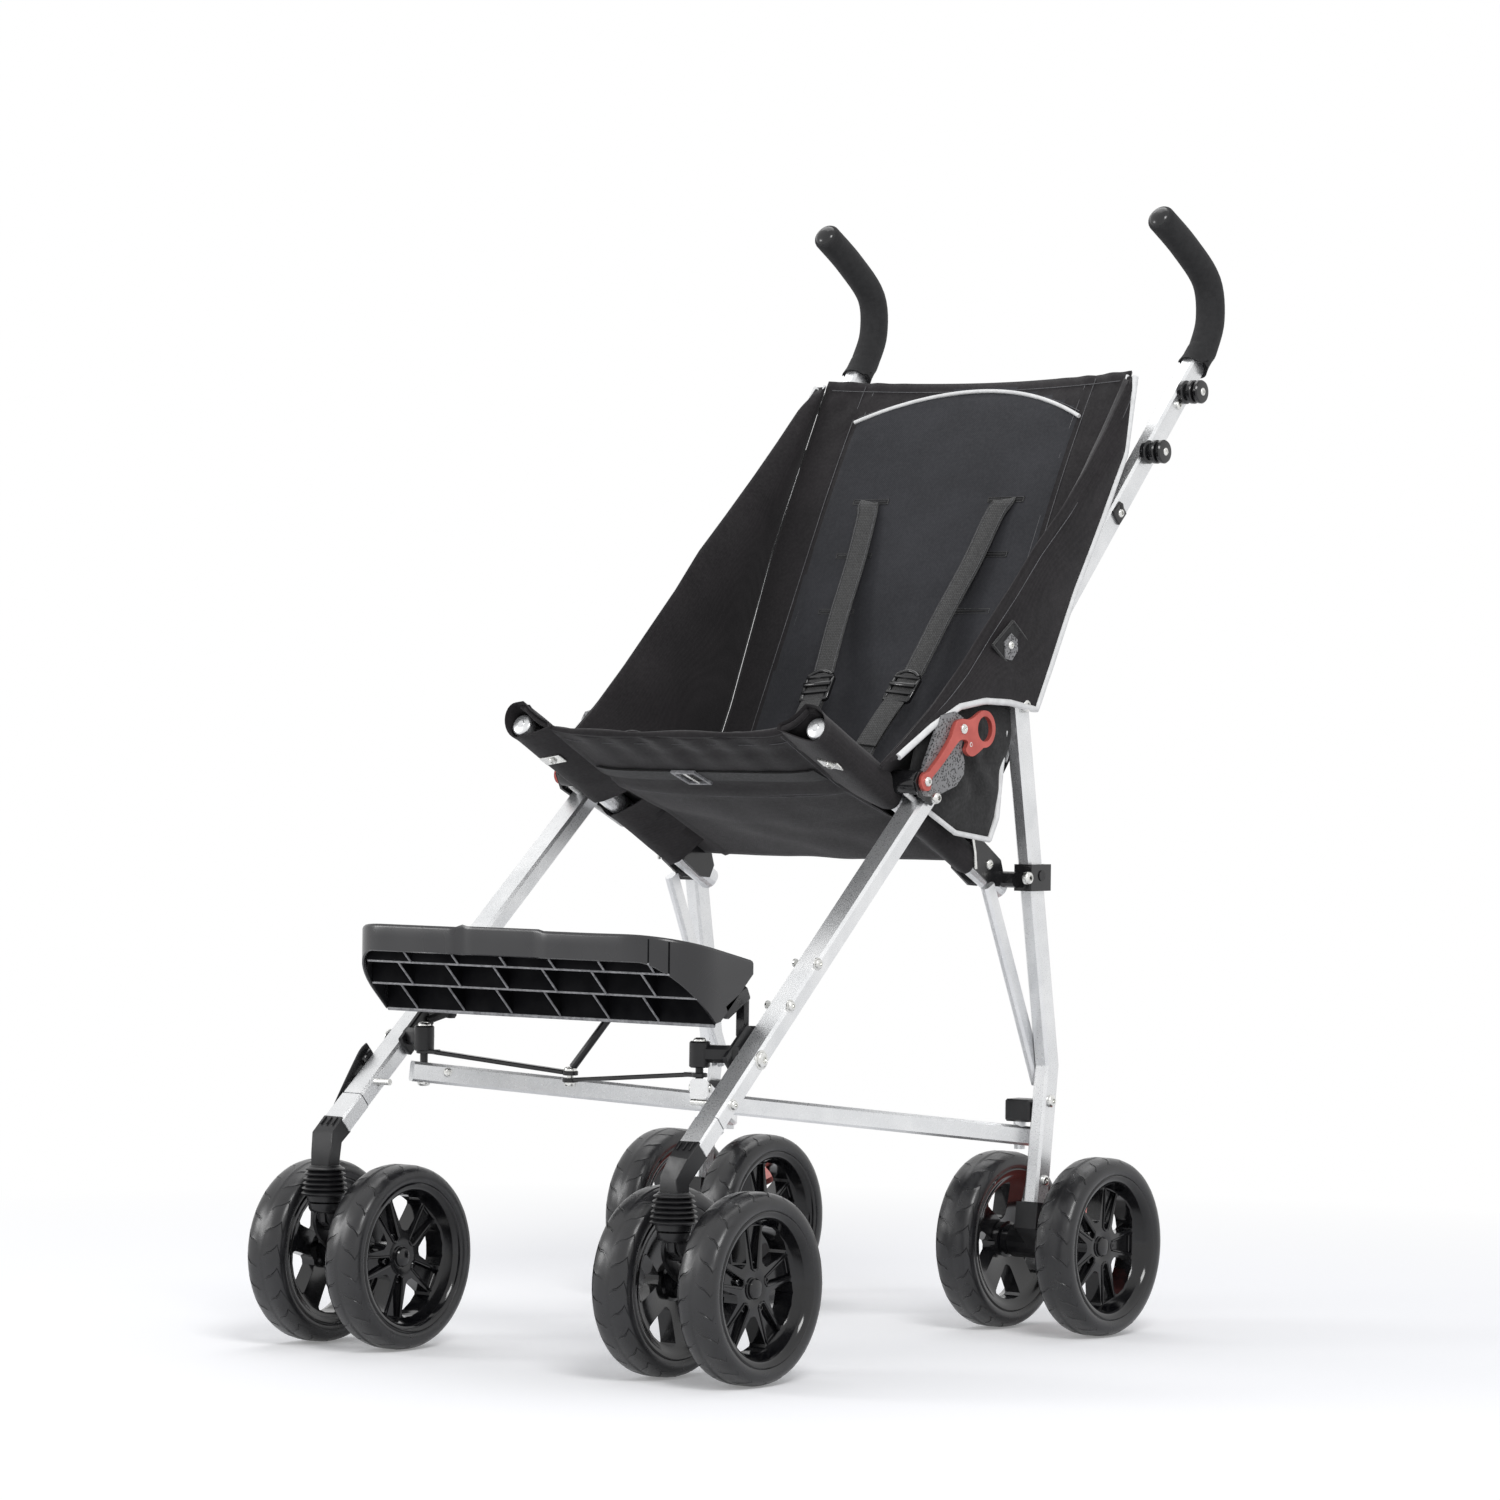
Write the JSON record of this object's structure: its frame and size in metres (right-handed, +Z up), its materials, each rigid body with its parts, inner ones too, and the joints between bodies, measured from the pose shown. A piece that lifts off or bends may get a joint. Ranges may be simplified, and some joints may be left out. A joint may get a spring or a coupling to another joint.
{
  "type": "special needs stroller",
  "caption": "Folding sling-seat stroller for a larger child: crossing brace bars, hook grips, tray footrest, twin swivel front wheels and braked twin rear wheels.",
  "frame": {"origin": "centre of the bounding box, on the floor", "axes": "+Z up, -Y the direction of travel, +X towards the seated child's left"},
  "size_m": [0.573, 0.9239, 1.1229],
  "materials": {
    "tube": "satin anodised",
    "moulding": "fine texture",
    "grip": "soft foam",
    "plate": "hammered grey",
    "lever": "red, satin",
    "tyre": "moulded foam rubber",
    "rim": "satin",
    "fabric": "woven",
    "webbing": "webbing"
  },
  "bodies": {
    "right_frame": {"handle_tube_right": "tube", "handle_grip_right": "grip", "bobbins_right": "moulding", "front_leg_right": "tube", "seat_rail_right": "tube", "hinge_plate_right": "plate", "front_lug_right": "moulding", "caster_socket_right": "moulding", "side_panel_right": "fabric", "backrest": "fabric", "seat_sling": "fabric", "harness_strap_left": "webbing", "harness_strap_right": "webbing"},
    "left_frame": {"handle_tube_left": "tube", "handle_grip_left": "grip", "bobbins_left": "moulding", "front_leg_left": "tube", "seat_rail_left": "tube", "hinge_plate_left": "plate", "front_lug_left": "moulding", "caster_socket_left": "moulding", "side_panel_left": "fabric"},
    "footrest": {"footrest": "moulding", "footrest_stay": "moulding"},
    "rear_leg_right": {"rear_leg_right": "tube", "rear_strut_right": "tube", "rear_clamp_right": "moulding", "rear_lug_right": "moulding", "rear_axle_right": "moulding"},
    "rear_leg_left": {"rear_leg_left": "tube", "rear_strut_left": "tube", "rear_clamp_left": "moulding", "rear_lug_left": "moulding", "rear_axle_left": "moulding"},
    "brace_right": {"brace_right": "tube"},
    "brace_left": {"brace_left": "tube"},
    "spreader_link_right": {"spreader_link_right": "moulding"},
    "spreader_link_left": {"spreader_link_left": "moulding"},
    "latch_lever_right": {"latch_lever_right": "lever"},
    "brake_pedal_right": {"brake_pedal_right": "lever"},
    "caster_fork_right": {"caster_fork_right": "moulding"},
    "front_wheel_outer_right": {"rim_front_outer_right": "rim", "tyre_front_outer_right": "tyre"},
    "front_wheel_inner_right": {"rim_front_inner_right": "rim", "tyre_front_inner_right": "tyre"},
    "rear_wheel_outer_right": {"rim_rear_outer_right": "rim", "tyre_rear_outer_right": "tyre"},
    "rear_wheel_inner_right": {"rim_rear_inner_right": "rim", "tyre_rear_inner_right": "tyre"},
    "latch_lever_left": {"latch_lever_left": "lever"},
    "brake_pedal_left": {"brake_pedal_left": "lever"},
    "caster_fork_left": {"caster_fork_left": "moulding"},
    "front_wheel_outer_left": {"rim_front_outer_left": "rim", "tyre_front_outer_left": "tyre"},
    "front_wheel_inner_left": {"rim_front_inner_left": "rim", "tyre_front_inner_left": "tyre"},
    "rear_wheel_outer_left": {"rim_rear_outer_left": "rim", "tyre_rear_outer_left": "tyre"},
    "rear_wheel_inner_left": {"rim_rear_inner_left": "rim", "tyre_rear_inner_left": "tyre"}
  },
  "joints": [
    {"name": "frame_fold", "type": "slide", "parent": "right_frame", "child": "left_frame", "axis": [-1, 0, 0], "range_m": [0, 0.22], "deforming": ["backrest", "seat_sling", "harness_strap_left", "harness_strap_right"]},
    {"name": "rear_leg_swing_right", "type": "hinge", "parent": "right_frame", "child": "rear_leg_right", "pos_m": [-0.2072, 0.11, 0.6145], "axis": [1, 0, 0], "range_deg": [0, 13.02]},
    {"name": "rear_leg_swing_left", "type": "hinge", "parent": "left_frame", "child": "rear_leg_left", "pos_m": [0.2072, 0.11, 0.6145], "axis": [1, 0, 0], "range_deg": [0, 13.02]},
    {"name": "brace_turn_right", "type": "hinge", "parent": "right_frame", "child": "brace_right", "pos_m": [-0.165, -0.335, 0.259], "axis": [0, 0, 1], "range_deg": [0, 22.75]},
    {"name": "brace_turn_left", "type": "hinge", "parent": "left_frame", "child": "brace_left", "pos_m": [0.165, -0.335, 0.259], "axis": [0, 0, -1], "range_deg": [0, 22.75]},
    {"name": "spreader_turn_right", "type": "hinge", "parent": "right_frame", "child": "spreader_link_right", "pos_m": [-0.165, -0.335, 0.279], "axis": [0, 0, 1], "range_deg": [0, 64.77]},
    {"name": "spreader_turn_left", "type": "hinge", "parent": "left_frame", "child": "spreader_link_left", "pos_m": [0.165, -0.335, 0.279], "axis": [0, 0, -1], "range_deg": [0, 64.77]},
    {"name": "footrest_fold", "type": "hinge", "parent": "right_frame", "child": "footrest", "pos_m": [-0.18, -0.2925, 0.338], "axis": [0, -1, 0], "range_deg": [0, 78.02]},
    {"name": "latch_lift_right", "type": "hinge", "parent": "right_frame", "child": "latch_lever_right", "pos_m": [-0.2197, -0.066, 0.5415], "axis": [1, 0, 0], "range_deg": [0, 35]},
    {"name": "brake_press_right", "type": "hinge", "parent": "rear_leg_right", "child": "brake_pedal_right", "pos_m": [-0.207, 0.18624, 0.1089], "axis": [-1, 0, 0], "range_deg": [0, 20]},
    {"name": "caster_swivel_right", "type": "hinge", "parent": "right_frame", "child": "caster_fork_right", "pos_m": [-0.208, -0.426, 0.145], "axis": [0, 0, 1], "continuous": true},
    {"name": "front_wheel_spin_outer_right", "type": "hinge", "parent": "caster_fork_right", "child": "front_wheel_outer_right", "pos_m": [-0.2567, -0.375, 0.087], "axis": [1, 0, 0], "continuous": true},
    {"name": "front_wheel_spin_inner_right", "type": "hinge", "parent": "caster_fork_right", "child": "front_wheel_inner_right", "pos_m": [-0.1593, -0.375, 0.087], "axis": [1, 0, 0], "continuous": true},
    {"name": "rear_wheel_spin_outer_right", "type": "hinge", "parent": "rear_leg_right", "child": "rear_wheel_outer_right", "pos_m": [-0.2655, 0.178, 0.087], "axis": [1, 0, 0], "continuous": true},
    {"name": "rear_wheel_spin_inner_right", "type": "hinge", "parent": "rear_leg_right", "child": "rear_wheel_inner_right", "pos_m": [-0.1485, 0.178, 0.087], "axis": [1, 0, 0], "continuous": true},
    {"name": "latch_lift_left", "type": "hinge", "parent": "left_frame", "child": "latch_lever_left", "pos_m": [0.2197, -0.066, 0.5415], "axis": [1, 0, 0], "range_deg": [0, 35]},
    {"name": "brake_press_left", "type": "hinge", "parent": "rear_leg_left", "child": "brake_pedal_left", "pos_m": [0.207, 0.18624, 0.1089], "axis": [-1, 0, 0], "range_deg": [0, 20]},
    {"name": "caster_swivel_left", "type": "hinge", "parent": "left_frame", "child": "caster_fork_left", "pos_m": [0.208, -0.426, 0.145], "axis": [0, 0, 1], "continuous": true},
    {"name": "front_wheel_spin_outer_left", "type": "hinge", "parent": "caster_fork_left", "child": "front_wheel_outer_left", "pos_m": [0.2567, -0.375, 0.087], "axis": [1, 0, 0], "continuous": true},
    {"name": "front_wheel_spin_inner_left", "type": "hinge", "parent": "caster_fork_left", "child": "front_wheel_inner_left", "pos_m": [0.1593, -0.375, 0.087], "axis": [1, 0, 0], "continuous": true},
    {"name": "rear_wheel_spin_outer_left", "type": "hinge", "parent": "rear_leg_left", "child": "rear_wheel_outer_left", "pos_m": [0.2655, 0.178, 0.087], "axis": [1, 0, 0], "continuous": true},
    {"name": "rear_wheel_spin_inner_left", "type": "hinge", "parent": "rear_leg_left", "child": "rear_wheel_inner_left", "pos_m": [0.1485, 0.178, 0.087], "axis": [1, 0, 0], "continuous": true}
  ],
  "couplings": [
    {"joint": "rear_leg_swing_right", "follows": "frame_fold", "rad_per_m": 1.0313},
    {"joint": "rear_leg_swing_left", "follows": "frame_fold", "rad_per_m": 1.0313},
    {"joint": "brace_turn_right", "follows": "frame_fold", "rad_per_m": 1.8033},
    {"joint": "brace_turn_left", "follows": "frame_fold", "rad_per_m": 1.8033},
    {"joint": "spreader_turn_right", "follows": "frame_fold", "rad_per_m": 5.1371},
    {"joint": "spreader_turn_left", "follows": "frame_fold", "rad_per_m": 5.1371},
    {"joint": "footrest_fold", "follows": "frame_fold", "rad_per_m": 6.188}
  ]
}
